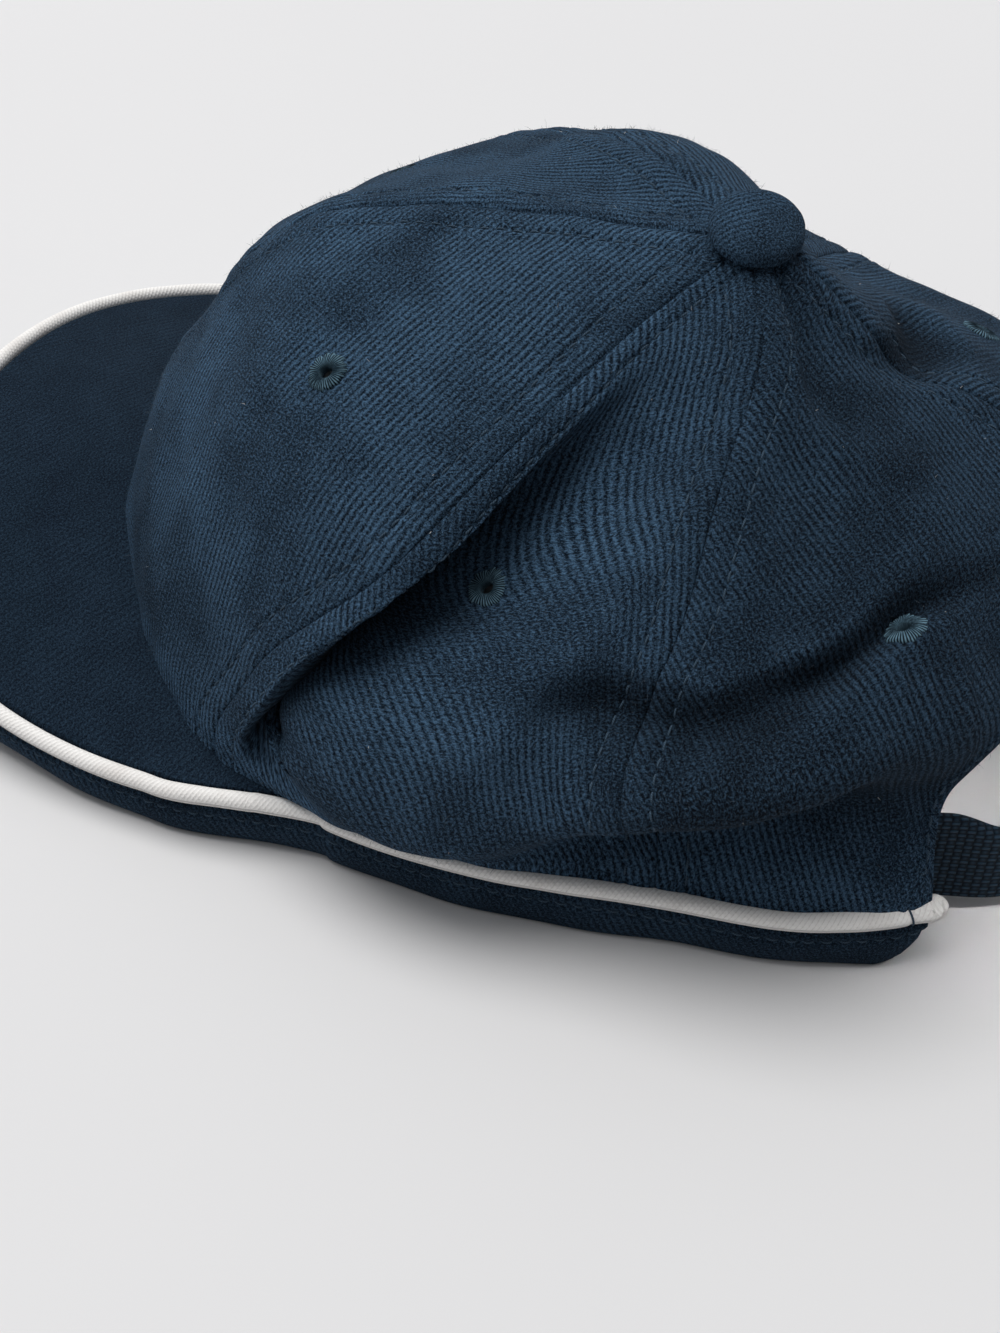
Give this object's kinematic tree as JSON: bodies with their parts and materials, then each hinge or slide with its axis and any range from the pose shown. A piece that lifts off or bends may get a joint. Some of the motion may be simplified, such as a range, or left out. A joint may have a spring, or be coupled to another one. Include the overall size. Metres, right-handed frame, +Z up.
{
  "type": "baseball cap",
  "caption": "Soft cotton twill cap with a curved peak, contrast piping round the edge, eyelets, a covered top button and a webbing strap at the back, slumped on a table.",
  "frame": {"origin": "centre of the bounding box at the level of the table", "axes": "+Y from the peak to the back, +Z up from the table, +X to the wearer's left"},
  "size_m": [0.1743, 0.2568, 0.0993],
  "materials": {
    "navy_twill": "brushed cotton twill",
    "navy_thread": "embroidery thread",
    "white_piping": "covered cord",
    "navy_webbing": "basket weave",
    "dark_metal": "satin"
  },
  "bodies": {
    "root": {"panel_front_left": "navy_twill", "panel_mid_left": "navy_twill", "panel_rear_left": "navy_twill", "panel_rear_right": "navy_twill", "panel_mid_right": "navy_twill", "panel_front_right": "navy_twill", "eyelet_front_left": "navy_thread", "eyelet_mid_left": "navy_thread", "eyelet_rear_left": "navy_thread", "eyelet_rear_right": "navy_thread", "eyelet_mid_right": "navy_thread", "eyelet_front_right": "navy_thread", "top_button": "navy_twill", "piping": "white_piping", "edge_band": "navy_twill", "peak": "navy_twill", "strap_left": "navy_webbing", "strap_right": "navy_webbing", "strap_buckle": "dark_metal"}
  },
  "joints": []
}
